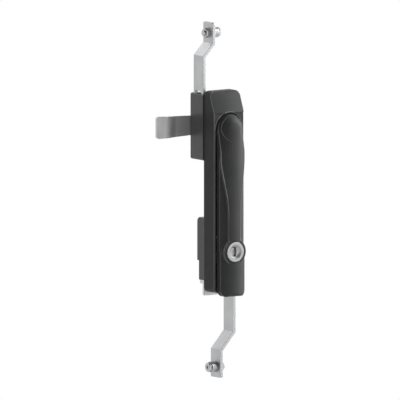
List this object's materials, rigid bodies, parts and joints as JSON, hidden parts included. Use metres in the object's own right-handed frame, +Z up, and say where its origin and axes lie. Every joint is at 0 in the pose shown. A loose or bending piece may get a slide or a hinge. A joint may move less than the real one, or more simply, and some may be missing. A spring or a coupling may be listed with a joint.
{
  "type": "cabinet rod lock",
  "caption": "Swing handle lock for a cabinet door: a long black tray with a hinged lever and key lock, a rear gear box that drives flat rods with rollers up and down, and a turning steel cam.",
  "frame": {"origin": "turning axis of the handle at the rear face of the tray, which lies on the outside of the door", "axes": "+X to the right seen from outside the door, +Y into the cabinet, +Z up along the rods"},
  "size_m": [0.0779, 0.057, 0.3334],
  "materials": {
    "black_coat": "satin black powder coat",
    "black_box": "semi-gloss black coat",
    "rubber": "matt",
    "brass": "turned",
    "zinc": "bright zinc plate",
    "screw_steel": "zinc plate",
    "cast_steel": "machined",
    "cam_steel": "dull zinc plate",
    "roller_steel": "turned and plated",
    "lock_chrome": "satin nickel"
  },
  "bodies": {
    "base": {"tray": "black_coat", "tray_gasket": "rubber", "shaft_bush": "brass", "gearbox_housing": "black_box", "gearbox_cover": "black_box", "gearbox_screws": "screw_steel", "latch_housing": "black_box", "latch_screws": "screw_steel", "keeper": "screw_steel", "lower_bracket": "zinc", "bracket_screws": "screw_steel"},
    "swivel": {"swivel_yoke": "cast_steel", "drive_shaft": "cast_steel", "pinion": "cast_steel", "pinion_pin": "screw_steel", "cam": "cam_steel", "cam_washer": "zinc", "cam_screw": "screw_steel"},
    "handle": {"lever": "black_coat", "lever_pin": "screw_steel", "lock_barrel": "lock_chrome"},
    "plug": {"lock_plug": "lock_chrome"},
    "bolt": {"lock_bolt": "screw_steel"},
    "rod_up": {"upper_rod": "zinc", "upper_bolt": "screw_steel", "upper_nut": "screw_steel"},
    "roller_up": {"upper_roller": "roller_steel"},
    "rod_down": {"lower_rod": "zinc", "lower_bolt": "screw_steel", "lower_nut": "screw_steel"},
    "roller_down": {"lower_roller": "roller_steel"}
  },
  "joints": [
    {"name": "handle_turn", "type": "hinge", "parent": "base", "child": "swivel", "pos_m": [0, 0, 0], "axis": [0, -1, 0], "range_deg": [0, 90]},
    {"name": "lever_lift", "type": "hinge", "parent": "swivel", "child": "handle", "pos_m": [0, -0.014, 0], "axis": [-1, 0, 0], "range_deg": [0, 30]},
    {"name": "key_turn", "type": "hinge", "parent": "handle", "child": "plug", "pos_m": [0, -0.0274, -0.1149], "axis": [0, 1, 0], "range_deg": [0, 90]},
    {"name": "bolt_slide", "type": "slide", "parent": "handle", "child": "bolt", "axis": [0, 1, 0], "range_m": [0, 0.006]},
    {"name": "rod_up_slide", "type": "slide", "parent": "base", "child": "rod_up", "axis": [0, 0, -1], "range_m": [0, 0.0236]},
    {"name": "rod_down_slide", "type": "slide", "parent": "base", "child": "rod_down", "axis": [0, 0, 1], "range_m": [0, 0.0236]},
    {"name": "roller_up_spin", "type": "hinge", "parent": "rod_up", "child": "roller_up", "pos_m": [0.0006, 0.0095, 0.0872], "axis": [1, 0, 0], "continuous": true},
    {"name": "roller_down_spin", "type": "hinge", "parent": "rod_down", "child": "roller_down", "pos_m": [-0.0006, 0.0095, -0.2262], "axis": [1, 0, 0], "continuous": true}
  ],
  "couplings": [
    {"joint": "rod_up_slide", "follows": "handle_turn", "m_per_rad": 0.015},
    {"joint": "rod_down_slide", "follows": "handle_turn", "m_per_rad": 0.015},
    {"joint": "bolt_slide", "follows": "key_turn", "m_per_rad": 0.0038197}
  ]
}
